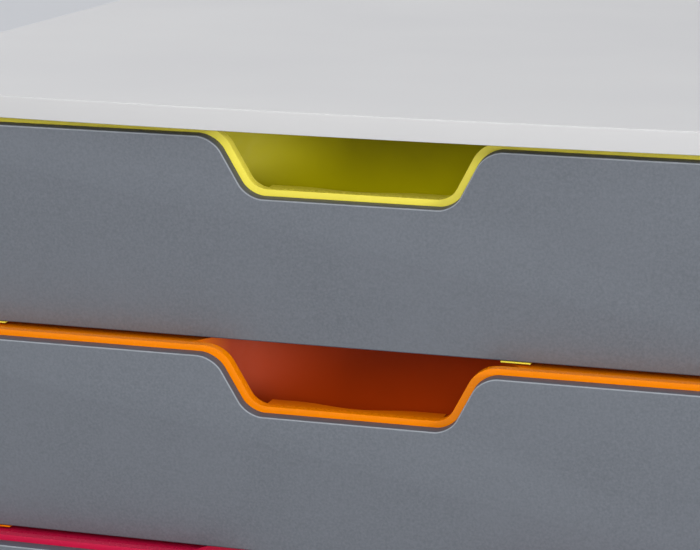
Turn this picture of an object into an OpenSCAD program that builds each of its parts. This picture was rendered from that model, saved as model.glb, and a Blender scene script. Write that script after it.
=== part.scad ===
// Desktop drawer tower: a moulded case on rubber feet with a stack of sliding drawers.
// Each drawer is an open coloured tray with a leaning front clipped over its front wall.
// The origin is on the ground under the middle of the case. The fronts face -Y.

/* [Case] */
// Width across the cover and the base
case_w = 280; // [240:1:340]
// Depth from the middle of the cover's front edge to the back
case_d = 358; // [300:1:430]
// How far the middle of the front edge stands ahead of its ends
front_bow = 7; // [3:0.5:10]
// Radius of the front corners in plan
front_corner_r = 5; // [3:0.5:8]
// Radius of the rear corners in plan
rear_corner_r = 8; // [3:0.5:12]
// Thickness of the side walls
side_t = 2.5; // [2:0.1:3.5]
// Thickness of the back panel
back_t = 2.2; // [1.6:0.1:3]
// Clearance where one shell of the case fits in another
fit_gap = 0.2; // [0.1:0.05:0.4]

/* [Cover] */
// Height of the cover, from its lower edge to its top
cover_h = 5.5; // [5:0.1:8]
// Thickness of the cover's top
cover_t = 2.4; // [1.8:0.1:3]
// Thickness of the skirts of the cover and the base
skirt_t = 2.2; // [1.6:0.1:3]
// Radius of the cover's upper edge
cover_edge_r = 2; // [1:0.1:3]
// Thickness of the ribs that grip the side walls inside the cover
grip_t = 1.6; // [1.2:0.1:2.5]
// Height of those ribs
grip_h = 2.2; // [1.5:0.1:2.4]
// Distance of those ribs' ends from the side walls' front edges
grip_inset = 11.2; // [5:0.1:30]

/* [Base] */
// Height of the base's skirt
base_h = 11.3; // [10:0.1:16]
// Thickness of the base's floor
base_t = 2.2; // [1.6:0.1:3]
// Number of stiffening ribs across the base's floor
base_rib_count = 4; // [2:1:6]
// Height of those ribs
base_rib_h = 5; // [3:0.5:7]
// Diameter of a rubber foot
foot_d = 14; // [10:0.5:20]
// Height of a foot below the base
foot_h = 4; // [3:0.5:8]
// Distance of a foot's centre from the sides and the ends of the case
foot_inset = 26; // [20:1:40]
// Depth of the socket that a foot is glued in
foot_socket = 0.8; // [0.5:0.1:1.2]

/* [Fronts] */
// Number of drawers
drawer_count = 5; // [3:1:6]
// Height from one front to the next
front_pitch = 54; // [44:0.5:70]
// Gap between one front and the next, straight up
front_gap = 2.6; // [2.5:0.1:4]
// Thickness of a front
front_t = 2.9; // [1.6:0.1:3]
// Lean of a front, its upper edge forward, in degrees
front_tilt = 8.7; // [4:0.1:10]
// Gap between a front and the side walls
front_side_gap = 0.8; // [0.5:0.1:2]
// Radius of a front's outer corners
front_r = 1.5; // [0.5:0.1:3]
// Distance of the fronts' upper edges behind the middle of the cover's front edge
front_setback = 4.6; // [2:0.1:6]
// Gap between the top front and the cover
cover_gap = 2.2; // [2.2:0.1:4]
// Gap between the bottom front and the base
base_gap = 1.6; // [1:0.1:3]

/* [Finger cut-out] */
// Width of the cut-out at the front's upper edge
cutout_top_w = 66.6; // [55:0.1:85]
// Width of the cut-out at its bottom
cutout_bottom_w = 50.8; // [40:0.1:65]
// Depth of the cut-out
cutout_depth = 14.9; // [11:0.1:19]
// Radius of its upper corners
cutout_top_r = 7; // [4:0.5:8]
// Radius of its lower corners
cutout_bottom_r = 6.5; // [5:0.5:10]

/* [Trays] */
// Thickness of a tray's floor, sides and back
tray_t = 2; // [1.5:0.1:3]
// Gap between a tray's side and the side wall
tray_side_gap = 6.6; // [6:0.1:9]
// Gap between a tray's back and the back panel
tray_rear_gap = 7; // [5:0.5:12]
// Radius of a tray's rear corners in plan
tray_corner_r = 9; // [5:0.5:14]
// Height of a tray's underside above the lower edge of its front
tray_lift = 0.4; // [0.2:0.1:1]
// Thickness of a tray's front wall from front to back
rim_t = 2.8; // [2:0.1:4]
// How far the front wall stands inside the cut-out of its front
rim_lip = 2; // [1:0.1:3]
// How far the front wall stands above its front
rim_rise = 1.9; // [1:0.1:1.9]
// Gap between the front wall and the front clipped over it
seat_gap = 0.1; // [0:0.05:0.2]
// Gap between the ends of the front wall and the ends of its front
wall_end_gap = 1; // [0.5:0.1:3]
// Depth of the shelf behind the cut-out near its ends
shelf_end_d = 5.2; // [3:0.1:7]
// Depth of that shelf in its middle
shelf_mid_d = 2.4; // [0.5:0.1:3]
// How far that shelf lies below the bottom of the cut-out
shelf_drop = 0.3; // [0.1:0.05:1]
// Thickness of the shelves behind the front wall
shelf_t = 1.8; // [1.2:0.1:2.5]
// Depth of the shelf along the front wall's upper edge
ledge_d = 8; // [3:0.1:8]
// How far that shelf lies below the upper edge
ledge_drop = 0.4; // [0.4:0.1:2]
// Depth of the finger pocket behind the front wall
pocket_d = 25; // [18:0.5:36]
// Half of the pocket's width where it meets the front wall
pocket_half = 42; // [38:0.5:50]
// Thickness of the pocket's curved wall
pocket_t = 1.8; // [1.2:0.1:2.5]
// Width of the flange along a tray's sides and back
flange_w = 3.4; // [2:0.1:4]
// Thickness of that flange
flange_t = 1.8; // [1.2:0.1:2.5]

/* [Clips] */
// Distance of the right hook's centre from the middle of the tray
hook_x = 40; // [30:1:60]
// Distance of the left hook's centre from the middle of the tray
hook_left_x = 95; // [70:1:110]
// Width of a hook under the front's lower edge
hook_w = 7.2; // [5:0.1:12]
// How far a hook hangs below the lower edge
hook_drop = 0.4; // [0.2:0.05:0.4]
// Diameter of the studs on the back of a front
stud_d = 4; // [3:0.1:6]
// Distance of a stud's centre below the front's upper edge
stud_drop = 32; // [24:1:38]
// Distance of an outer stud's centre from the end of its front
stud_inset = 26.9; // [12:0.1:50]
// Clearance round a stud
stud_gap = 0.1; // [0.05:0.05:0.2]

/* [Runners] */
// Width of a runner on a side wall
runner_w = 9; // [8:0.1:12]
// Thickness of a runner
runner_t = 2; // [1.5:0.1:3]
// Running clearance above and below a tray
run_gap = 0.35; // [0.3:0.05:0.5]
// How far a drawer slides out
drawer_travel = 255; // [180:1:270]
// How far a stop reaches past the flange
stop_bite = 2.4; // [1.5:0.1:2.6]
// Height of a stop
stop_h = 5; // [4:0.5:8]
// Length of a stop
stop_l = 5; // [3:0.5:8]

/* [Screws] */
// Diameter of a screw's shank
screw_d = 3; // [2.5:0.1:4]
// Diameter of a screw's head
screw_head_d = 6; // [5:0.1:8]
// Height of a screw's head
screw_head_h = 1.8; // [1.2:0.1:2.4]
// Length of a screw's shank
screw_l = 9; // [7:0.5:10]
// Diameter of the boss that a screw bites in
boss_d = 7; // [6:0.1:8.5]
// Clearance round a screw
screw_gap = 0.1; // [0.05:0.05:0.3]
// Distance of the screws from the front and the back of the case
screw_inset = 89; // [60:1:120]

/* [Hidden] */
$fn = 48;
arc_steps = 12;
edge_steps = 4;
eps = 0.01;
over = 1;

case_grey = "#cdced1";
front_grey = "#6f7378";
rubber_black = "#2b2b2c";
screw_steel = "#b9bcc0";
tray_colours = ["#dccb12", "#f08a00", "#c4164a", "#6c3191", "#1c8a58", "#1d6fb5"];

front_y = -case_d / 2 + front_setback;
front_h = front_pitch - front_gap;
front_lean = tan(front_tilt);
front_half = case_w / 2 - skirt_t - fit_gap - side_t - front_side_gap;
side_in = case_w / 2 - skirt_t - fit_gap - side_t;

base_top = foot_h + base_h;
floor_top = foot_h + base_t;
cover_low = front_top(1) + cover_gap;
case_h = cover_low + cover_h;
cover_under = case_h - cover_t;
wall_low = floor_top + fit_gap;
wall_high = cover_under - fit_gap;
wall_rear = case_d / 2 - skirt_t - fit_gap;
wall_front = -case_d / 2 + front_bow + skirt_t + front_corner_r - fit_gap;

tray_half = side_in - tray_side_gap;
tray_rear = wall_rear - back_t - tray_rear_gap;
tray_h = front_pitch - runner_t - 2 * run_gap;
tray_low = tray_lift - front_h;
wall_half = front_half - wall_end_gap;
wall_shift = front_t / cos(front_tilt) + seat_gap;

pocket_r = (pow(pocket_half, 2) + pow(pocket_d, 2)) / 2 / pocket_d;
pocket_y = wall_y(0) + rim_t + pocket_d - pocket_r;

runner_front = front_y + front_h * front_lean + wall_shift + rim_t + over;
back_rib = 2;
runner_rear = wall_rear - back_t - fit_gap - back_rib;
stop_y = runner_front + stop_l;
lug_y = stop_y + drawer_travel + fit_gap;
stop_x = tray_half + flange_w + (side_in - tray_half - flange_w - stop_bite) / 2;
lug_x = stop_x + stop_bite - fit_gap;

boss_x = side_in - boss_d / 2 - fit_gap;
boss_ys = [screw_inset - case_d / 2, case_d / 2 - screw_inset];
stud_xs = [stud_inset - front_half, -hook_x, hook_x, front_half - stud_inset];

// Upper edge of drawer i's front, counted from the top; 0 is the place above the first
function front_top(i) = base_top + base_gap + (drawer_count - i) * front_pitch + front_h;

// Upper face of the runners under drawer i
function runner_top(i) = front_top(i) + tray_low - run_gap;

// Points of an outline of [x, y, radius] corners, with its round corners as arcs
function corner_arc(before, at, after, r) =
    let (
        u = (before - at) / norm(before - at),
        w = (after - at) / norm(after - at),
        half = acos(u * w) / 2,
        centre = at + (u + w) / norm(u + w) * r / sin(half),
        start = at + u * r / tan(half) - centre,
        end = at + w * r / tan(half) - centre,
        turn = 180 - 2 * half
    )
    [for (k = [0:arc_steps])
        centre + (start * sin(turn * (1 - k / arc_steps)) + end * sin(turn * k / arc_steps)) / sin(turn)];

function rounded(corners) =
    let (n = len(corners))
    [for (i = [0:n - 1])
        let (
            at = [corners[i][0], corners[i][1]],
            before = [corners[(i + n - 1) % n][0], corners[(i + n - 1) % n][1]],
            after = [corners[(i + 1) % n][0], corners[(i + 1) % n][1]]
        )
        each corners[i][2] > 0 ? corner_arc(before, at, after, corners[i][2]) : [at]];

// Y of the bowed front edge at a distance x from the middle
function bow_y(x) = -case_d / 2 + front_bow * pow(2 * x / case_w, 2);

// Plan of the cover and the base, drawn in by inset
function case_plan(inset) =
    let (
        half = case_w / 2 - inset,
        last = half - front_corner_r,
        steps = 2 * arc_steps
    )
    concat(
        [for (k = [0:steps])
            let (x = -last + 2 * last * k / steps)
            [x, bow_y(x) + inset]],
        [for (k = [1:arc_steps])
            let (a = 90 * k / arc_steps)
            [last + front_corner_r * sin(a), bow_y(last) + inset + front_corner_r * (1 - cos(a))]],
        [for (k = [0:arc_steps])
            let (a = 90 * k / arc_steps, r = rear_corner_r - inset / 2)
            [half - r + r * cos(a), case_d / 2 - inset - r + r * sin(a)]],
        [for (k = [0:arc_steps])
            let (a = 90 * k / arc_steps, r = rear_corner_r - inset / 2)
            [-half + r - r * sin(a), case_d / 2 - inset - r + r * cos(a)]],
        [for (k = [1:arc_steps])
            let (a = 90 * k / arc_steps)
            [-last - front_corner_r * cos(a), bow_y(last) + inset + front_corner_r * (1 - sin(a))]]
    );

// Half width of the cut-out at a height z from the front's upper edge, drawn in by lip
cutout_slope = (cutout_top_w - cutout_bottom_w) / 2 / cutout_depth;
function cutout_half(z, lip) = cutout_top_w / 2 + z * cutout_slope - lip * sqrt(1 + pow(cutout_slope, 2));

// Corners of the cut-out from left to right, from the height top down, drawn in by lip
function cutout_corners(top, lip, stretch) =
    let (low = lip - cutout_depth)
    [
        [-cutout_half(top, lip), top * stretch, cutout_top_r + lip / 2],
        [-cutout_half(low, lip), low * stretch, cutout_bottom_r - lip / 2],
        [cutout_half(low, lip), low * stretch, cutout_bottom_r - lip / 2],
        [cutout_half(top, lip), top * stretch, cutout_top_r + lip / 2]
    ];

// Outline of a plate with the finger cut-out in its upper edge
function notched(half, low, top, lip, stretch, r) = rounded(concat(
    [[-half, low * stretch, r], [half, low * stretch, r], [half, top * stretch, r]],
    [for (k = [3:-1:0]) cutout_corners(top, lip, stretch)[k]],
    [[-half, top * stretch, r]]
));

// Y of the front wall's face at a height z from the front's upper edge
function wall_y(z) = front_y - z * front_lean + wall_shift;

// Slab behind the leaning front, from one depth to another, over a stretch of height
module leaning_slab(near, far, low, high, half) {
    rotate([90, 0, 90])
        linear_extrude(2 * half, center = true)
            polygon([
                [wall_y(low) + near, low],
                [wall_y(low) + far, low],
                [wall_y(high) + far, high],
                [wall_y(high) + near, high]
            ]);
}

// Plan of a tray, grown by grow, from well ahead of its front wall to its back
module tray_plan(grow) {
    half = tray_half + grow;
    rear = tray_rear + grow;
    r = tray_corner_r + grow;
    polygon(rounded([
        [-half, front_y, 0],
        [half, front_y, 0],
        [half, rear, r],
        [-half, rear, r]
    ]));
}

// Everything behind the front wall's face, drawn back by near
module behind_wall(near) {
    leaning_slab(near, 2 * case_d, -front_h - over, rim_rise + over, case_w / 2);
}

// Floor, sides and back of a tray with their flange, open at the front
module tray_tub() {
    difference() {
        intersection() {
            union() {
                translate([0, 0, tray_low])
                    linear_extrude(tray_h)
                        tray_plan(0);
                translate([0, 0, tray_low + tray_h - flange_t])
                    linear_extrude(flange_t)
                        tray_plan(flange_w);
            }
            behind_wall(rim_t / 2);
        }
        translate([0, 0, tray_low + tray_t])
            linear_extrude(tray_h)
                tray_plan(-tray_t);
    }
}

// Front wall, which closes the tub, with the cut-out that lies inside the front's own
module tray_wall() {
    intersection() {
        leaning_slab(0, rim_t, tray_low, rim_rise, wall_half);
        translate([0, wall_y(tray_low) + rim_t + over, 0])
            rotate([90, 0, 0])
                linear_extrude(3 * rim_t + front_h * front_lean)
                    polygon(notched(wall_half, tray_low, rim_rise, rim_lip, 1, front_r));
    }
}

// Shelf behind the bottom of the cut-out, its rear edge hollowed for the fingertips
module finger_shelf() {
    top = rim_lip - cutout_depth;
    half = cutout_half(top, rim_lip) - rim_lip;
    dip_half = 0.7;
    rear = wall_y(top) + rim_t;
    translate([0, 0, top - shelf_drop - shelf_t])
        linear_extrude(shelf_t)
            polygon(concat(
                [[half, rear - rim_t / 2], [-half, rear - rim_t / 2]],
                [for (k = [-arc_steps:arc_steps])
                    let (t = k / arc_steps, dip = (1 + cos(180 * min(1, abs(t) / dip_half))) / 2)
                    [half * t, rear + shelf_end_d - (shelf_end_d - shelf_mid_d) * dip]]
            ));
}

// Upright cylinder on the curve of the finger pocket, larger by grow
module pocket_round(low, high, grow) {
    translate([0, pocket_y, low])
        cylinder(h = high - low, r = pocket_r + grow);
}

// Shelves along the front wall's upper edge, one on each side of the cut-out
module upper_shelves() {
    top = rim_rise - ledge_drop;
    near = pocket_half - ledge_d;
    far = tray_half - tray_t / 2;
    difference() {
        for (side = [-1, 1])
            translate([side * (near + far) / 2, wall_y(top) + rim_t + ledge_d / 2 - over / 2, top - shelf_t / 2])
                cube([far - near, ledge_d + over, shelf_t], center = true);
        intersection() {
            pocket_round(top - shelf_t - over, top + over, pocket_t);
            behind_wall(rim_t);
        }
    }
}

// Lugs on a tray's sides that meet the stops when the drawer is out
module lugs() {
    for (side = [-1, 1])
        translate([side * (tray_half + lug_x) / 2, lug_y + stop_l / 2, tray_low + tray_h - stop_h / 2])
            cube([lug_x - tray_half + 2 * eps, stop_l, stop_h], center = true);
}

module stud_places() {
    for (x = stud_xs)
        translate([x, front_y, 0])
            rotate([90 + front_tilt, 0, 0])
                translate([0, -stud_drop, 0])
                    children();
}

module drawer_tray(i) {
    color(tray_colours[(i - 1) % len(tray_colours)])
        translate([0, 0, front_top(i)])
            difference() {
                union() {
                    tray_tub();
                    tray_wall();
                    finger_shelf();
                    upper_shelves();
                    lugs();
                }
                stud_places()
                    translate([0, 0, -front_t - 2 * rim_t])
                        cylinder(h = 2 * rim_t, d = stud_d + 2 * stud_gap);
            }
}

// Curved wall of the finger pocket, which closes the tray behind the cut-out
module drawer_pocket(i) {
    low = tray_low + tray_t;
    high = tray_low + tray_h;
    color(tray_colours[(i - 1) % len(tray_colours)])
        translate([0, 0, front_top(i)])
            intersection() {
                difference() {
                    pocket_round(low, high, pocket_t);
                    pocket_round(low - over, high + over, 0);
                }
                behind_wall(rim_t);
            }
}

// Hooks under a tray's front wall that reach below the lower edge of the front and hold it
module drawer_hooks(i) {
    tip = front_y + front_h * front_lean;
    root = wall_y(tray_low) + rim_t;
    color(tray_colours[(i - 1) % len(tray_colours)])
        for (x = [-hook_left_x, hook_x])
            translate([x - hook_w / 2, tip, front_top(i) - front_h - hook_drop])
                difference() {
                    cube([hook_w, root - tip, hook_drop + tray_lift]);
                    translate([-over, -over, hook_drop - seat_gap / 2])
                        cube([hook_w + 2 * over, wall_shift + over, front_h]);
                }
}

module drawer_front(i) {
    color(front_grey)
        translate([0, 0, front_top(i)]) {
            translate([0, front_y, 0])
                rotate([90 + front_tilt, 0, 0])
                    translate([0, 0, -front_t])
                        linear_extrude(front_t)
                            polygon(notched(front_half, -front_h, 0, 0, 1 / cos(front_tilt), front_r));
            stud_places()
                translate([0, 0, -front_t - rim_t])
                    cylinder(h = rim_t + eps, d = stud_d);
        }
}

// Solid of the case's plan with a round upper edge, as a ring of points at each height
module rounded_slab(low, high, edge_r) {
    turns = [for (k = [0:edge_steps]) 90 * k / edge_steps];
    insets = concat([0], [for (a = turns) edge_r * (1 - cos(a))]);
    heights = concat([low], [for (a = turns) high - edge_r * (1 - sin(a))]);
    count = len(case_plan(0));
    last = len(heights) - 1;
    polyhedron(
        points = [for (i = [0:last]) each [for (p = case_plan(insets[i])) [p[0], p[1], heights[i]]]],
        faces = concat(
            [[for (j = [0:count - 1]) j]],
            [[for (j = [count - 1:-1:0]) last * count + j]],
            [for (i = [0:last - 1], j = [0:count - 1])
                let (a = i * count, b = a + count, next = (j + 1) % count)
                each [[a + j, b + j, b + next], [a + j, b + next, a + next]]]
        )
    );
}

module top_cover() {
    color(case_grey) {
        difference() {
            rounded_slab(cover_low, case_h, cover_edge_r);
            translate([0, 0, cover_low - over])
                linear_extrude(cover_under - cover_low + over)
                    polygon(case_plan(skirt_t));
        }
        for (side = [-1, 1])
            translate([side * (side_in - fit_gap - grip_t / 2), 0, cover_under - grip_h / 2 + eps])
                cube([grip_t, -2 * (wall_front + grip_inset), grip_h + 2 * eps], center = true);
    }
}

// Space within the skirts of the cover and the base, less the clearance of the fit
module within_skirts() {
    linear_extrude(case_h)
        polygon(case_plan(skirt_t + fit_gap));
}

// The case's right wall; the left one is its mirror image
module side_wall() {
    difference() {
        union() {
            intersection() {
                translate([side_in, wall_front, wall_low])
                    cube([side_t, wall_rear - wall_front, wall_high - wall_low]);
                within_skirts();
            }
            for (i = [0:drawer_count])
                translate([side_in - runner_w, runner_front, runner_top(i) - runner_t])
                    cube([runner_w + eps, runner_rear - runner_front, runner_t]);
            for (i = [0:drawer_count - 1])
                translate([stop_x, runner_front, runner_top(i) - runner_t - stop_h])
                    cube([side_in - stop_x + eps, stop_l, stop_h + eps]);
            translate([side_in - runner_w / 2, runner_rear - eps, wall_low])
                cube([runner_w / 2 + eps, back_rib + eps, wall_high - wall_low - grip_h]);
            for (y = boss_ys)
                translate([boss_x, y, wall_low])
                    cylinder(h = runner_top(drawer_count) - runner_t / 2 - wall_low, d = boss_d);
        }
        for (y = boss_ys)
            translate([boss_x, y, wall_low - over])
                cylinder(h = screw_l + over, d = screw_d + 2 * screw_gap);
    }
}

module right_side_wall() {
    color(case_grey)
        side_wall();
}

module left_side_wall() {
    color(case_grey)
        mirror([1, 0, 0])
            side_wall();
}

// Back panel with a stiffening rib outside at the height of each runner
module back_panel() {
    half = side_in - fit_gap;
    rib_t = skirt_t - fit_gap;
    rib_h = 3;
    color(case_grey) {
        intersection() {
            translate([-half, wall_rear - back_t, wall_low])
                cube([2 * half, back_t, wall_high - wall_low]);
            within_skirts();
        }
        for (i = [1:drawer_count - 1])
            translate([-half + runner_w, wall_rear - eps, runner_top(i) - rib_h / 2])
                cube([2 * (half - runner_w), rib_t + eps, rib_h]);
    }
}

module foot_places() {
    x = case_w / 2 - foot_inset;
    y = case_d / 2 - foot_inset;
    for (at = [[-x, -y], [x, -y], [-x, y], [x, y]])
        translate([at[0], at[1], 0])
            children();
}

module base() {
    rib_w = 1.8;
    rib_half = side_in - boss_d - 2 * over;
    color(case_grey) {
        difference() {
            translate([0, 0, foot_h])
                linear_extrude(base_h)
                    polygon(case_plan(0));
            translate([0, 0, floor_top])
                linear_extrude(base_h)
                    polygon(case_plan(skirt_t));
            foot_places()
                translate([0, 0, foot_h - over])
                    cylinder(h = foot_socket + over, d = foot_d + 2 * fit_gap);
            for (side = [-1, 1])
                for (y = boss_ys)
                    translate([side * boss_x, y, foot_h - over])
                        cylinder(h = base_t + 2 * over, d = screw_d + 4 * screw_gap);
        }
        for (k = [1:base_rib_count])
            translate([-rib_half, -case_d / 2 + k * case_d / (base_rib_count + 1), floor_top - eps])
                cube([2 * rib_half, rib_w, base_rib_h + eps]);
    }
}

// A rubber foot with a chamfered lower edge
module foot(side, end) {
    chamfer = 1;
    color(rubber_black)
        translate([side * (case_w / 2 - foot_inset), end * (case_d / 2 - foot_inset), 0]) {
            cylinder(h = chamfer, d1 = foot_d - 2 * chamfer, d2 = foot_d);
            translate([0, 0, chamfer])
                cylinder(h = foot_h + foot_socket - chamfer, d = foot_d);
        }
}

// Pan head screws with a cross recess, up through the base into the side walls
module base_screws() {
    recess_w = 0.9;
    recess_l = 3.6;
    color(screw_steel)
        for (side = [-1, 1])
            for (y = boss_ys)
                translate([side * boss_x, y, foot_h - screw_head_h])
                    difference() {
                        union() {
                            cylinder(h = screw_head_h, d = screw_head_d);
                            cylinder(h = screw_head_h + screw_l, d = screw_d);
                        }
                        for (turn = [0, 90])
                            rotate([0, 0, turn])
                                cube([recess_l, recess_w, screw_head_h], center = true);
                    }
}

top_cover();
left_side_wall();
right_side_wall();
back_panel();
base();
foot(-1, -1);  // foot_front_left
foot(1, -1);  // foot_front_right
foot(-1, 1);  // foot_rear_left
foot(1, 1);  // foot_rear_right
base_screws();
for (i = [1:drawer_count]) {
    drawer_tray(i);
    drawer_pocket(i);
    drawer_hooks(i);
    drawer_front(i);
}
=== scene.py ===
import math

import bmesh
import bpy
from mathutils import Matrix, Vector


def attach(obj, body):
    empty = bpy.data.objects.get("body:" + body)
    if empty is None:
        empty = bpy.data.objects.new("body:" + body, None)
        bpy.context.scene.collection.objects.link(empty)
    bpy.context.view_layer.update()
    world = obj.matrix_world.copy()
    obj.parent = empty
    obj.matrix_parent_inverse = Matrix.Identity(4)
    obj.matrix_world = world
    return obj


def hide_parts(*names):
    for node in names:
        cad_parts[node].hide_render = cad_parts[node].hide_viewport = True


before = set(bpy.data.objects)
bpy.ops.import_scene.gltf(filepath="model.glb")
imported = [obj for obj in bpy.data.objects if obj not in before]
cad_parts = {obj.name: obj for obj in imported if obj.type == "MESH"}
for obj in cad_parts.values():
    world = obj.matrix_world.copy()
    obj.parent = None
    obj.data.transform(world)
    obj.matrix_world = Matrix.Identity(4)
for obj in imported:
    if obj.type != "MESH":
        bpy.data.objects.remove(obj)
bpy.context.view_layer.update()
mm = 0.001
print("frame loaded,", len(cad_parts), "nodes")


# what the fronts, the cover and the base are worked out from, in millimetres
tower = {
    "width": 280.0,
    "depth": 358.0,
    "frontBow": 7.0,
    "frontCornerR": 5.0,
    "rearCornerR": 8.0,
    "drawers": 5,
    "pitch": 54.0,
    "topOfFirstFront": 284.3,
    "frontY": -174.4,
}


def frontTop(number):
    return tower["topOfFirstFront"] - (number - 1) * tower["pitch"]


def letGo():
    if bpy.context.object and bpy.context.object.mode != "OBJECT":
        bpy.ops.object.mode_set(mode="OBJECT")
    bpy.ops.object.select_all(action="DESELECT")


def pickUp(piece):
    letGo()
    piece.select_set(True)
    bpy.context.view_layer.objects.active = piece


def startPiece(name):
    piece = bpy.context.object
    piece.name = name
    piece.data.name = name
    pickUp(piece)
    bpy.ops.object.transform_apply(location=True, rotation=True, scale=True)
    return piece


def edit(piece, selectMode="EDGE"):
    pickUp(piece)
    bpy.ops.object.mode_set(mode="EDIT")
    bpy.ops.mesh.select_mode(type=selectMode)
    bpy.ops.mesh.select_all(action="DESELECT")


def doneEditing():
    bpy.ops.object.mode_set(mode="OBJECT")


def selectWhere(piece, kind, test):
    mesh = bmesh.from_edit_mesh(piece.data)
    mesh.normal_update()
    picked = 0
    for part in getattr(mesh, kind):
        hit = bool(test(part))
        if hit:
            part.select_set(True)
        picked += hit
    if kind == "verts":
        mesh.select_flush(False)
    bmesh.update_edit_mesh(piece.data)
    return picked


def middle(part):
    return sum((v.co for v in part.verts), Vector()) / len(part.verts)


closeBy = {"level": 0.02 * mm, "corner": 0.05 * mm}


def near(a, b, slack=closeBy["level"]):
    return abs(a - b) < slack


def sharp(e, angle=25):
    return len(e.link_faces) == 2 and e.calc_face_angle(0) > math.radians(angle)


def shadeByAngle(piece, angle):
    pickUp(piece)
    bpy.ops.object.shade_smooth_by_angle(angle=math.radians(angle))


def duplicate(piece, name, move):
    pickUp(piece)
    bpy.ops.object.duplicate()
    twin = bpy.context.object
    twin.name = name
    twin.data.name = name
    twin.location = Vector(twin.location) + Vector(move)
    pickUp(twin)
    bpy.ops.object.transform_apply(location=True, rotation=False, scale=False)
    return twin


def joinInto(piece, extras):
    letGo()
    for extra in extras:
        extra.select_set(True)
    piece.select_set(True)
    bpy.context.view_layer.objects.active = piece
    bpy.ops.object.join()


def newFinish(name):
    finish = bpy.data.materials.new(name)
    finish.use_nodes = True
    tree = finish.node_tree
    shader = tree.nodes["Principled BSDF"]
    place = tree.nodes.new("ShaderNodeTexCoord")
    return finish, tree, shader, place


def addNoise(tree, place, scale, detail=2.0, roughness=0.5):
    noise = tree.nodes.new("ShaderNodeTexNoise")
    noise.inputs["Scale"].default_value = scale
    noise.inputs["Detail"].default_value = detail
    noise.inputs["Roughness"].default_value = roughness
    tree.links.new(place.outputs["Object"], noise.inputs["Vector"])
    return noise.outputs["Fac"]


def addRange(tree, source, low, high, fromLow=0.3, fromHigh=0.7):
    span = tree.nodes.new("ShaderNodeMapRange")
    span.inputs["From Min"].default_value = fromLow
    span.inputs["From Max"].default_value = fromHigh
    span.inputs["To Min"].default_value = low
    span.inputs["To Max"].default_value = high
    tree.links.new(source, span.inputs["Value"])
    return span.outputs["Result"]


# of a Mix node's sockets, inputs 6 and 7 and output 2 are the ones for colours
def addBlend(tree, amount, first, second):
    mix = tree.nodes.new("ShaderNodeMix")
    mix.data_type = "RGBA"
    for index, colour in ((6, first), (7, second)):
        if isinstance(colour, tuple):
            mix.inputs[index].default_value = (*colour, 1)
        else:
            tree.links.new(colour, mix.inputs[index])
    tree.links.new(amount, mix.inputs[0])
    return mix.outputs[2]


def addBump(tree, shader, height, distance, strength=1.0, under=None):
    bump = tree.nodes.new("ShaderNodeBump")
    bump.inputs["Strength"].default_value = strength
    bump.inputs["Distance"].default_value = distance
    tree.links.new(height, bump.inputs["Height"])
    if under is not None:
        tree.links.new(under, bump.inputs["Normal"])
    tree.links.new(bump.outputs["Normal"], shader.inputs["Normal"])
    return bump.outputs["Normal"]


def fromScreen(red, green, blue):
    return tuple(
        (c / 255 / 12.92) if c / 255 <= 0.04045 else ((c / 255 + 0.055) / 1.055) ** 2.4
        for c in (red, green, blue)
    )


def shaded(colour, share):
    return tuple(c * share for c in colour)


frontLook = {
    "pale": fromScreen(110, 115, 123),
    "deep": fromScreen(95, 100, 107),
    # a painted highlight: the pale colour of the rounded face edge where it looks up
    "arris": fromScreen(150, 155, 162),
    # smooth ungrained plastic of the plate's sides and back, its darker tone painted shade
    "edge": fromScreen(86, 90, 100),
    "edgeGloss": 0.25,
    "grainScale": 1500,
    "grainDetail": (3.0, 0.6),
    "blotchScale": 45,
    "blotchShare": 0.3,
    "roughness": (0.42, 0.56),
    "bumpDepth": 0.02 * mm,
    "hazeScale": 220,
    "hazeShade": 0.9,
    "hazeDepth": 0.01 * mm,
    "edgeRoughness": (0.5, 0.6),
}


def makeFrontFinish():
    finish, tree, shader, place = newFinish("grainedFrontPlastic")
    grain = addNoise(tree, place, frontLook["grainScale"], *frontLook["grainDetail"])
    blotch = addNoise(tree, place, frontLook["blotchScale"])
    speckled = addBlend(tree, addRange(tree, grain, 0, 1), frontLook["deep"], frontLook["pale"])
    share = addRange(tree, blotch, 0, frontLook["blotchShare"])
    tree.links.new(addBlend(tree, share, speckled, frontLook["pale"]), shader.inputs["Base Color"])
    tree.links.new(addRange(tree, grain, *frontLook["roughness"]), shader.inputs["Roughness"])
    addBump(tree, shader, grain, frontLook["bumpDepth"])
    return finish


# smooth plastic without grain: for the plate's thin sides and back, toned darker as painted shade, and
# for the rounded edge round its face, painted pale as a painted highlight where it looks up
def makeSmoothFrontFinish(name, colour):
    finish, tree, shader, place = newFinish(name)
    haze = addNoise(tree, place, frontLook["hazeScale"])
    tone = addBlend(tree, addRange(tree, haze, 0, 1), shaded(colour, frontLook["hazeShade"]), colour)
    tree.links.new(tone, shader.inputs["Base Color"])
    tree.links.new(addRange(tree, haze, *frontLook["edgeRoughness"]), shader.inputs["Roughness"])
    shader.inputs["Specular IOR Level"].default_value = frontLook["edgeGloss"]
    addBump(tree, shader, haze, frontLook["hazeDepth"])
    return finish


caseLook = {
    "colour": fromScreen(201, 201, 202),
    "shade": fromScreen(196, 196, 198),
    "grainScale": 2400,
    "waveScale": 14,
    "gloss": 0.35,
    "roughness": (0.33, 0.38),
    "grainDepth": 0.002 * mm,
    "waveDepth": 0.2 * mm,
    "waveStrength": 0.15,
}


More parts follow.
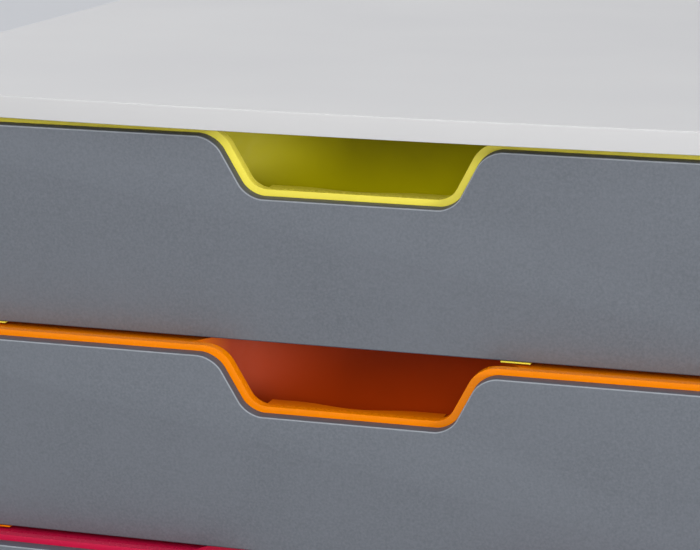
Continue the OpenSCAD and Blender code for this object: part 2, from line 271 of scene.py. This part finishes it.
def makeCaseFinish():
    finish, tree, shader, place = newFinish("paleCasePlastic")
    wave = addNoise(tree, place, caseLook["waveScale"])
    grain = addNoise(tree, place, caseLook["grainScale"])
    tone = addBlend(tree, addRange(tree, wave, 0, 1), caseLook["shade"], caseLook["colour"])
    tree.links.new(tone, shader.inputs["Base Color"])
    tree.links.new(addRange(tree, grain, *caseLook["roughness"]), shader.inputs["Roughness"])
    shader.inputs["Specular IOR Level"].default_value = caseLook["gloss"]
    soft = addBump(tree, shader, wave, caseLook["waveDepth"], caseLook["waveStrength"])
    addBump(tree, shader, grain, caseLook["grainDepth"], 1.0, soft)
    return finish


# a tray's tone and gloss change from its front edge to its inside, along the depth; the darker inside
# tone is painted shade in the tray's hollow
trayLook = {
    # inside: darker than the rim, as painted shade in the tray's hollow
    "yellow": {"rim": fromScreen(255, 240, 92), "inside": fromScreen(200, 190, 0)},
    "orange": {"rim": fromScreen(255, 140, 0), "inside": fromScreen(172, 56, 4)},
    "red": {"rim": fromScreen(204, 26, 70), "inside": fromScreen(186, 10, 56)},
    "violet": {"rim": fromScreen(118, 58, 152), "inside": fromScreen(98, 38, 138)},
    "green": {"rim": fromScreen(34, 146, 94), "inside": fromScreen(14, 128, 74)},
    "rimShade": 0.94,
    "insideShade": 0.86,
    "flowScale": 30,
    "flowDetail": 3.0,
    "grainScale": 700,
    "grainSpread": 0.05,
    "gloss": 0.2,
    "rimRoughness": 0.24,
    "insideRoughness": 0.5,
    "waveDepth": 0.12 * mm,
    "waveStrength": 0.1,
    "edgeY": -169 * mm,
    "insideY": -158 * mm,
}


def makeTrayFinish(colour):
    finish, tree, shader, place = newFinish(colour + "TrayPlastic")
    tones = trayLook[colour]
    parts = tree.nodes.new("ShaderNodeSeparateXYZ")
    tree.links.new(place.outputs["Object"], parts.inputs[0])
    depth = addRange(tree, parts.outputs["Y"], 0, 1, trayLook["edgeY"], trayLook["insideY"])
    flow = addNoise(tree, place, trayLook["flowScale"], trayLook["flowDetail"])
    grain = addNoise(tree, place, trayLook["grainScale"])
    uneven = addRange(tree, flow, 0, 1)
    rimTone = addBlend(tree, uneven, tones["rim"], shaded(tones["rim"], trayLook["rimShade"]))
    shadedInsideTone = addBlend(tree, uneven, tones["inside"], shaded(tones["inside"], trayLook["insideShade"]))
    # deeper in the tray the colour turns to the darker inside tone, which is painted shade
    tone = addBlend(tree, depth, rimTone, shadedInsideTone)
    tree.links.new(tone, shader.inputs["Base Color"])
    rough = addRange(tree, depth, trayLook["rimRoughness"], trayLook["insideRoughness"], 0, 1)
    varied = tree.nodes.new("ShaderNodeMath")
    varied.operation = "ADD"
    tree.links.new(rough, varied.inputs[0])
    spread = trayLook["grainSpread"]
    tree.links.new(addRange(tree, grain, -spread, spread), varied.inputs[1])
    tree.links.new(varied.outputs[0], shader.inputs["Roughness"])
    shader.inputs["Specular IOR Level"].default_value = trayLook["gloss"]
    addBump(tree, shader, flow, trayLook["waveDepth"], trayLook["waveStrength"])
    return finish


rubberLook = {
    "dark": fromScreen(34, 34, 35),
    "pale": fromScreen(52, 52, 53),
    "grainScale": 1200,
    "grainDetail": (3.0, 0.65),
    "roughness": (0.65, 0.85),
    "metallic": 0.0,
    "bumpDepth": 0.04 * mm,
}
steelLook = {
    "dark": fromScreen(176, 180, 186),
    "pale": fromScreen(206, 208, 212),
    "grainScale": 900,
    "grainDetail": (3.0, 0.6),
    "roughness": (0.25, 0.45),
    "metallic": 1.0,
    "bumpDepth": 0.01 * mm,
}


def makeGrainedFinish(name, look):
    finish, tree, shader, place = newFinish(name)
    grain = addNoise(tree, place, look["grainScale"], *look["grainDetail"])
    tone = addBlend(tree, addRange(tree, grain, 0, 1), look["dark"], look["pale"])
    tree.links.new(tone, shader.inputs["Base Color"])
    tree.links.new(addRange(tree, grain, *look["roughness"]), shader.inputs["Roughness"])
    shader.inputs["Metallic"].default_value = look["metallic"]
    addBump(tree, shader, grain, look["bumpDepth"])
    return finish


trayColours = ["yellow", "orange", "red", "violet", "green"]
finishes = {
    "front": makeFrontFinish(),
    "frontArris": makeSmoothFrontFinish("frontArrisPlastic", frontLook["arris"]),
    "frontEdge": makeSmoothFrontFinish("frontEdgePlastic", frontLook["edge"]),
    "case": makeCaseFinish(),
    "rubber": makeGrainedFinish("footRubber", rubberLook),
    "steel": makeGrainedFinish("zincScrewSteel", steelLook),
}
for colour in trayColours:
    finishes[colour] = makeTrayFinish(colour)


def giveFinish(piece, *names):
    piece.data.materials.clear()
    for name in names:
        piece.data.materials.append(finishes[name])


print("finishes made")


front = {
    "half": 134.3,
    "height": 51.4,
    "thickness": 2.9,
    "tilt": 8.7,
    "cornerR": 1.5,
    "cornerSteps": 6,
    "cutoutTop": 66.6,
    "cutoutBottom": 50.8,
    "cutoutDepth": 14.9,
    "cutoutTopR": 7.0,
    "cutoutBottomR": 6.5,
    "cutSlack": 0.01,
    "flatWithin": 0.5,
    "arcSteps": 16,
    "faceEdgeR": 0.3,
    "faceEdgeSteps": 4,
    "backEdgeR": 0.15,
    "backEdgeSteps": 2,
    "grainedFrom": 0.99,
    "arrisFrom": 0.3,
    # how far up a rounded face edge must look to take the painted highlight
    "highlightUpFrom": 0.4,
    "smoothAngle": 35,
    "studD": 4.0,
    "studDrop": 32.0,
    "studLength": 2.7,
    "studSides": 32,
    "studTipR": 0.5,
    "studTipSteps": 3,
    "studXs": (-107.44, -40.0, 40.0, 107.44),
}


def roundCorner(piece, spots, radius, turn, steps):
    edit(piece, "VERT")
    selectWhere(piece, "verts", lambda v: any((v.co - spot).length < closeBy["corner"] for spot in spots))
    reach = radius * math.tan(math.radians(turn) / 2)
    bpy.ops.mesh.bevel(offset=reach, offset_type="OFFSET", segments=steps, affect="VERTICES",
                       clamp_overlap=False)
    doneEditing()


def makeFrontPlate():
    stretch = 1 / math.cos(math.radians(front["tilt"]))
    half, low = front["half"] * mm, -front["height"] * stretch * mm
    topHalf, bottomHalf = front["cutoutTop"] / 2 * mm, front["cutoutBottom"] / 2 * mm
    notch = -front["cutoutDepth"] * stretch * mm
    letGo()
    bpy.ops.mesh.primitive_plane_add(size=1, location=(0, 0, low / 2), rotation=(math.pi / 2, 0, 0))
    bpy.context.object.scale = (2 * half, -low, 1)
    plate = startPiece("frontPlate")

    slope = math.atan2(topHalf - bottomHalf, -notch)
    cuts = [
        ((0, 0, notch), (0, 0, 1)),
        ((bottomHalf, 0, notch), (math.cos(slope), 0, -math.sin(slope))),
        ((-bottomHalf, 0, notch), (-math.cos(slope), 0, -math.sin(slope))),
    ]
    for place, way in cuts:
        edit(plate)
        bpy.ops.mesh.select_all(action="SELECT")
        bpy.ops.mesh.bisect(plane_co=place, plane_no=way)
        doneEditing()

    def inCutout(f):
        return middle(f).z > notch and all(
            abs(v.co.x) < bottomHalf + (v.co.z - notch) * math.tan(slope) + front["cutSlack"] * mm
            for v in f.verts)

    edit(plate, "FACE")
    selectWhere(plate, "faces", inCutout)
    bpy.ops.mesh.delete(type="FACE")
    bpy.ops.mesh.select_all(action="SELECT")
    bpy.ops.mesh.dissolve_limited(angle_limit=math.radians(front["flatWithin"]))
    doneEditing()

    turn = 90 - math.degrees(slope)
    upper = [Vector((s * topHalf, 0, 0)) for s in (-1, 1)]
    lower = [Vector((s * bottomHalf, 0, notch)) for s in (-1, 1)]
    outer = [Vector((s * half, 0, z)) for s in (-1, 1) for z in (0, low)]
    roundCorner(plate, upper, front["cutoutTopR"] * mm, turn, front["arcSteps"])
    roundCorner(plate, lower, front["cutoutBottomR"] * mm, turn, front["arcSteps"])
    roundCorner(plate, outer, front["cornerR"] * mm, 90, front["cornerSteps"])

    edit(plate, "FACE")
    bpy.ops.mesh.select_all(action="SELECT")
    bpy.ops.mesh.extrude_region_move(TRANSFORM_OT_translate={"value": (0, front["thickness"] * mm, 0)})
    bpy.ops.mesh.select_all(action="SELECT")
    bpy.ops.mesh.normals_make_consistent(inside=False)
    doneEditing()

    rounds = [
        (0, front["faceEdgeR"], front["faceEdgeSteps"]),
        (front["thickness"] * mm, front["backEdgeR"], front["backEdgeSteps"]),
    ]
    for y, radius, steps in rounds:
        edit(plate)
        selectWhere(plate, "edges", lambda e: sharp(e) and all(near(v.co.y, y) for v in e.verts))
        bpy.ops.mesh.bevel(offset=radius * mm, segments=steps, profile=0.5, affect="EDGES")
        doneEditing()

    studs = []
    for x in front["studXs"]:
        middleY = (front["thickness"] + front["studLength"] / 2) * mm
        bpy.ops.mesh.primitive_cylinder_add(
            vertices=front["studSides"], radius=front["studD"] / 2 * mm, depth=front["studLength"] * mm,
            location=(x * mm, middleY, -front["studDrop"] * mm), rotation=(math.pi / 2, 0, 0))
        stud = startPiece("stud")
        edit(stud)
        tip = (front["thickness"] + front["studLength"]) * mm
        selectWhere(stud, "edges", lambda e: sharp(e) and all(near(v.co.y, tip) for v in e.verts))
        bpy.ops.mesh.bevel(offset=front["studTipR"] * mm, segments=front["studTipSteps"], affect="EDGES")
        doneEditing()
        studs.append(stud)
    joinInto(plate, studs)

    # grain on the face, a painted highlight on the rounded face edge where it looks up, and smooth
    # plastic toned darker as painted shade elsewhere
    giveFinish(plate, "front", "frontArris", "frontEdge")
    for face in plate.data.polygons:
        towards = -face.normal.y
        onPlate = face.center.y < front["thickness"] / 2 * mm
        facesUp = face.normal.z > front["highlightUpFrom"] * math.hypot(face.normal.x, face.normal.z)
        if towards > front["grainedFrom"]:
            face.material_index = 0
        elif onPlate and facesUp and towards > front["arrisFrom"]:
            face.material_index = 1
        else:
            face.material_index = 2
    plate.rotation_euler = (math.radians(front["tilt"]), 0, 0)
    plate.location = (0, tower["frontY"] * mm, 0)
    pickUp(plate)
    bpy.ops.object.transform_apply(location=True, rotation=True, scale=True)
    shadeByAngle(plate, front["smoothAngle"])
    return plate


plate = makeFrontPlate()
for number in range(1, tower["drawers"] + 1):
    node = f"drawer_front_{number}"
    face = duplicate(plate, f"frontPlate{number}", (0, 0, frontTop(number) * mm))
    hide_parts(node)
    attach(face, f"drawer_{number}")
bpy.data.objects.remove(plate)
print("fronts made")


cover = {
    "low": 286.5,
    "height": 5.5,
    "top": 2.4,
    "skirt": 2.2,
    "edgeR": 0.5,
    "lipR": 0.2,
    "bowSteps": 40,
    "gripX": 134.1,
    "gripWidth": 1.6,
    "gripReach": 153.8,
    "gripDrop": 2.2,
}
base = {
    "low": 4.0,
    "height": 11.3,
    "floor": 2.2,
    "skirt": 2.2,
    "edgeR": 1.4,
    "lipR": 0.5,
    "bowSteps": 40,
    "ribs": 4,
    "ribHeight": 5.0,
    "ribWidth": 1.8,
    "ribHalf": 126.1,
    "ribSunk": 0.5,
}
shellFinish = {
    "frontCornerSteps": 10,
    "rearCornerSteps": 12,
    "edgeSteps": 8,
    "lipSteps": 4,
    "levelFrom": 0.9,
    "smoothAngle": 30,
}
bar = {"edgeR": 0.3, "edgeSteps": 2}


def makeBowedShell(name, shape, openUp):
    halfW, halfD = tower["width"] / 2 * mm, tower["depth"] / 2 * mm
    bow, endY = tower["frontBow"] * mm, (-tower["depth"] / 2 + tower["frontBow"]) * mm
    letGo()
    bpy.ops.mesh.primitive_plane_add(size=1, location=(0, (endY + halfD) / 2, 0))
    bpy.context.object.scale = (2 * halfW, halfD - endY, 1)
    shell = startPiece(name)

    edit(shell)
    selectWhere(shell, "edges", lambda e: all(near(v.co.y, endY) for v in e.verts))
    bpy.ops.mesh.subdivide(number_cuts=shape["bowSteps"] - 1)
    doneEditing()
    for v in shell.data.vertices:
        if near(v.co.y, endY):
            v.co.y -= bow * (1 - (v.co.x / halfW) ** 2)

    frontTurn = 90 - math.degrees(math.atan(2 * bow / halfW))
    frontSpots = [Vector((s * halfW, endY, 0)) for s in (-1, 1)]
    rearSpots = [Vector((s * halfW, halfD, 0)) for s in (-1, 1)]
    frontSteps, rearSteps = shellFinish["frontCornerSteps"], shellFinish["rearCornerSteps"]
    roundCorner(shell, frontSpots, tower["frontCornerR"] * mm, frontTurn, frontSteps)
    roundCorner(shell, rearSpots, tower["rearCornerR"] * mm, 90, rearSteps)

    low, high = shape["low"] * mm, (shape["low"] + shape["height"]) * mm
    edit(shell, "FACE")
    bpy.ops.mesh.select_all(action="SELECT")
    bpy.ops.mesh.extrude_region_move(TRANSFORM_OT_translate={"value": (0, 0, high - low)})
    bpy.ops.mesh.select_all(action="SELECT")
    bpy.ops.mesh.normals_make_consistent(inside=False)
    bpy.ops.transform.translate(value=(0, 0, low))
    doneEditing()

    openZ = high if openUp else low
    wall = shape["floor"] if openUp else shape["top"]
    hollow = (shape["height"] - wall) * mm * (-1 if openUp else 1)
    level = shellFinish["levelFrom"]
    edit(shell, "FACE")
    selectWhere(shell, "faces", lambda f: near(middle(f).z, openZ) and abs(f.normal.z) > level)
    bpy.ops.mesh.inset(thickness=shape["skirt"] * mm, depth=0)
    bpy.ops.mesh.extrude_region_move(TRANSFORM_OT_translate={"value": (0, 0, hollow)})
    doneEditing()

    closedZ = low if openUp else high
    rounds = [
        (closedZ, shape["edgeR"], shellFinish["edgeSteps"]),
        (openZ, shape["lipR"], shellFinish["lipSteps"]),
    ]
    for z, radius, steps in rounds:
        edit(shell)
        selectWhere(shell, "edges", lambda e: sharp(e) and all(near(v.co.z, z) for v in e.verts))
        bpy.ops.mesh.bevel(offset=radius * mm, segments=steps, profile=0.5, affect="EDGES")
        doneEditing()
    return shell


def makeBar(name, low, high):
    size = [b - a for a, b in zip(low, high)]
    letGo()
    bpy.ops.mesh.primitive_cube_add(size=1, location=[(a + b) / 2 * mm for a, b in zip(low, high)])
    bpy.context.object.scale = [s * mm for s in size]
    piece = startPiece(name)
    edit(piece)
    bpy.ops.mesh.select_all(action="SELECT")
    bpy.ops.mesh.bevel(offset=bar["edgeR"] * mm, segments=bar["edgeSteps"], affect="EDGES")
    doneEditing()
    return piece


coverShell = makeBowedShell("coverShell", cover, openUp=False)
under = cover["low"] + cover["height"] - cover["top"]
grips = []
for side in (-1, 1):
    x, half = side * cover["gripX"], cover["gripWidth"] / 2
    grips.append(makeBar("grip", (x - half, -cover["gripReach"], under - cover["gripDrop"]),
                         (x + half, cover["gripReach"], under)))
joinInto(coverShell, grips)
shadeByAngle(coverShell, shellFinish["smoothAngle"])
giveFinish(coverShell, "case")
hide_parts("top_cover")
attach(coverShell, "case")

baseShell = makeBowedShell("baseShell", base, openUp=True)
floorTop = base["low"] + base["floor"]
ribs = []
for k in range(1, base["ribs"] + 1):
    y = -tower["depth"] / 2 + k * tower["depth"] / (base["ribs"] + 1)
    ribs.append(makeBar("rib", (-base["ribHalf"], y, floorTop - base["ribSunk"]),
                        (base["ribHalf"], y + base["ribWidth"], floorTop + base["ribHeight"])))
joinInto(baseShell, ribs)
shadeByAngle(baseShell, shellFinish["smoothAngle"])
giveFinish(baseShell, "case")
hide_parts("base")
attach(baseShell, "case")
print("cover and base made")


copied = {"mergeWithin": 0.004, "flatWithin": 0.4, "smoothAngle": 32}


# a copy of a node's mesh with its triangles merged into flat faces, which need new normals
def cleanCopy(node, name):
    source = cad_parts[node]
    copy = source.copy()
    copy.data = source.data.copy()
    copy.name = name
    copy.data.name = name
    copy.parent = None
    for key in [k for k in copy.keys() if k.startswith("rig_")]:
        del copy[key]
    bpy.context.scene.collection.objects.link(copy)
    pickUp(copy)
    bpy.ops.mesh.customdata_custom_splitnormals_clear()
    edit(copy, "VERT")
    bpy.ops.mesh.select_all(action="SELECT")
    bpy.ops.mesh.remove_doubles(threshold=copied["mergeWithin"] * mm)
    bpy.ops.mesh.dissolve_limited(angle_limit=math.radians(copied["flatWithin"]))
    doneEditing()
    return copy


def soften(piece, test, radius, steps, angle):
    edit(piece)
    if selectWhere(piece, "edges", lambda e: sharp(e, angle) and test(e)):
        bpy.ops.mesh.bevel(offset=radius * mm, segments=steps, profile=0.5, affect="EDGES",
                           miter_outer="ARC", clamp_overlap=True)
    doneEditing()


# heights count from the upper edge of the drawer's front
tray = {
    "rimFrontR": 0.9,
    "rimSteps": 5,
    "rimAngle": 40,
    "wallShift": 3.034,
    "wallSlack": 0.03,
    "roundedHalf": 132.5,
    "low": -51.0,
    "roundedFrom": 3.0,
    "sideHeight": 51.3,
    "shelfRise": 1.5,
}


def wallFaceY(z, top):
    return tower["frontY"] - (z / mm - top) * math.tan(math.radians(front["tilt"])) + tray["wallShift"]


def makeTray(number, colour):
    top = frontTop(number)
    shell = cleanCopy(f"drawer_tray_{number}", f"trayShell{number}")

    def onWall(e):
        return all(near(v.co.y / mm, wallFaceY(v.co.z, top), tray["wallSlack"]) for v in e.verts)

    def aboveFloor(e):
        return min(v.co.z for v in e.verts) / mm > top + tray["low"] + tray["roundedFrom"]

    def inside(e):
        return abs(middle(e).x) < tray["roundedHalf"] * mm

    soften(shell, lambda e: onWall(e) and aboveFloor(e) and inside(e),
           tray["rimFrontR"], tray["rimSteps"], tray["rimAngle"])
    parts = [f"drawer_{part}_{number}" for part in ("pocket", "hooks")]
    pocket, hooks = (cleanCopy(part, "trayPart") for part in parts)

    # the pocket's wall runs on up to the shelves beside it
    pocketTop = (top + tray["low"] + tray["sideHeight"]) * mm
    edit(pocket, "VERT")
    selectWhere(pocket, "verts", lambda v: near(v.co.z, pocketTop))
    bpy.ops.transform.translate(value=(0, 0, (top + tray["shelfRise"]) * mm - pocketTop))
    doneEditing()
    joinInto(shell, [pocket, hooks])
    shadeByAngle(shell, copied["smoothAngle"])
    giveFinish(shell, colour)
    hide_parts(f"drawer_tray_{number}", *parts)
    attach(shell, f"drawer_{number}")


for number, colour in enumerate(trayColours, 1):
    makeTray(number, colour)
print("trays made")

panel = {
    "names": {"left_side_wall": "leftWall", "right_side_wall": "rightWall", "back_panel": "backPlate"},
    "edgeR": 0.3,
    "edgeSteps": 2,
    "edgeAngle": 60,
}
for node, name in panel["names"].items():
    wall = cleanCopy(node, name)
    soften(wall, lambda e: True, panel["edgeR"], panel["edgeSteps"], panel["edgeAngle"])
    shadeByAngle(wall, copied["smoothAngle"])
    giveFinish(wall, "case")
    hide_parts(node)
    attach(wall, "case")
print("walls and back made")

for node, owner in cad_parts.items():
    if node.startswith("foot"):
        giveFinish(owner, "rubber")
    elif node == "base_screws":
        giveFinish(owner, "steel")


stage = {
    "floorColour": fromScreen(178, 180, 184),
    "seenColour": fromScreen(150, 152, 156),
    "seenGlow": 0.95,
    "roughness": 0.9,
    "floorSize": 6.0,
}


# 1 for what the camera sees, itself or in gloss or glass, and 0 for the light that falls on the object
def whereSeen(tree):
    rays = tree.nodes.new("ShaderNodeLightPath")
    seen = rays.outputs["Is Camera Ray"]
    for ray in ("Is Glossy Ray", "Is Transmission Ray"):
        either = tree.nodes.new("ShaderNodeMath")
        either.operation = "MAXIMUM"
        tree.links.new(seen, either.inputs[0])
        tree.links.new(rays.outputs[ray], either.inputs[1])
        seen = either.outputs[0]
    return seen


def makeFloor():
    letGo()
    bpy.ops.mesh.primitive_plane_add(size=stage["floorSize"], location=(0, 0, 0))
    floor = bpy.context.object
    floor.name = "studioFloor"
    finish, tree, shader, place = newFinish("studioPaper")
    seen = whereSeen(tree)
    tone = addBlend(tree, seen, stage["floorColour"], stage["seenColour"])
    tree.links.new(tone, shader.inputs["Base Color"])
    shader.inputs["Roughness"].default_value = stage["roughness"]
    shader.inputs["Emission Color"].default_value = (*stage["floorColour"], 1)
    glow = addRange(tree, seen, 0, stage["seenGlow"], 0, 1)
    tree.links.new(glow, shader.inputs["Emission Strength"])
    floor.data.materials.append(finish)


makeFloor()

sky = {"colour": (0.96, 0.97, 1.0), "onObject": 0.27, "seen": 0.9}


# a plain pale sky: dim for the light it gives, pale where it is seen or mirrored
def makeSky():
    world = bpy.data.worlds.new("studioWorld")
    bpy.context.scene.world = world
    world.use_nodes = True
    tree = world.node_tree
    background = tree.nodes["Background"]
    background.inputs["Color"].default_value = (*sky["colour"], 1)
    strength = addRange(tree, whereSeen(tree), sky["onObject"], sky["seen"], 0, 1)
    tree.links.new(strength, background.inputs["Strength"])


makeSky()


# the boxes that aren't mirrored would show as glare on the cover's top
warmWhite = (1.0, 0.99, 0.97)
plainWhite = (1.0, 1.0, 1.0)
lamps = [
    {
        "name": "frontBox",
        "place": (0.0, -1.34, 0.83),
        "target": (0, -0.17, 0.27),
        "size": (1.2, 0.8),
        "power": 11,
        "colour": warmWhite,
        "spread": 180,
        "mirrored": False,
    },
    {
        "name": "sideBox",
        "place": (1.24, -0.83, 0.29),
        "target": (0, -0.17, 0.27),
        "size": (0.5, 0.4),
        "power": 2.35,
        "colour": warmWhite,
        "spread": 90,
        "mirrored": True,
    },
    {
        "name": "topBox",
        "place": (-0.1, -0.4, 1.6),
        "target": (0, -0.1, 0.3),
        "size": (1.2, 1.2),
        "power": 6.5,
        "colour": plainWhite,
        "spread": 180,
        "mirrored": True,
    },
    {
        "name": "rearBox",
        "place": (-1.3, 0.95, 0.9),
        "target": (0, 0, 0.15),
        "size": (1.2, 1.0),
        "power": 15,
        "colour": plainWhite,
        "spread": 180,
        "mirrored": False,
    },
]


def addLamp(settings):
    letGo()
    bpy.ops.object.light_add(type="AREA", location=settings["place"])
    lamp = bpy.context.object
    lamp.name = settings["name"]
    lamp.data.shape = "RECTANGLE"
    lamp.data.size, lamp.data.size_y = settings["size"]
    lamp.data.energy = settings["power"]
    lamp.data.color = settings["colour"]
    lamp.data.spread = math.radians(settings["spread"])
    lamp.visible_glossy = settings["mirrored"]
    aim = Vector(settings["target"]) - Vector(settings["place"])
    lamp.rotation_euler = aim.to_track_quat("-Z", "Y").to_euler()


for settings in lamps:
    addLamp(settings)

shot = {
    "place": (153.5, -708.4, 376.1),
    "azimuth": 15.92,
    "elevation": 12.5,
    "roll": 0.5,
    "focalPixels": 2400.0,
    "imageWidth": 700.0,
    "sensor": 36.0,
    "clipStart": 0.01,
    "clipEnd": 50,
}


def makeCamera():
    azimuth, elevation, roll = (math.radians(shot[k]) for k in ("azimuth", "elevation", "roll"))
    level = math.cos(elevation)
    ahead = Vector((-math.sin(azimuth) * level, math.cos(azimuth) * level, -math.sin(elevation)))
    right = Vector((math.cos(azimuth), math.sin(azimuth), 0))
    up = right.cross(ahead)
    rolledRight = math.cos(roll) * right + math.sin(roll) * up
    rolledUp = -math.sin(roll) * right + math.cos(roll) * up
    letGo()
    bpy.ops.object.camera_add()
    camera = bpy.context.object
    camera.name = "shotCamera"
    camera.data.sensor_width = shot["sensor"]
    camera.data.lens = shot["focalPixels"] / shot["imageWidth"] * shot["sensor"]
    camera.data.clip_start = shot["clipStart"]
    camera.data.clip_end = shot["clipEnd"]
    turn = Matrix((rolledRight, rolledUp, -ahead)).transposed().to_4x4()
    camera.matrix_world = Matrix.Translation(Vector(shot["place"]) * mm) @ turn
    bpy.context.scene.camera = camera


makeCamera()
bpy.context.scene.view_settings.view_transform = "Standard"
print("stage set")
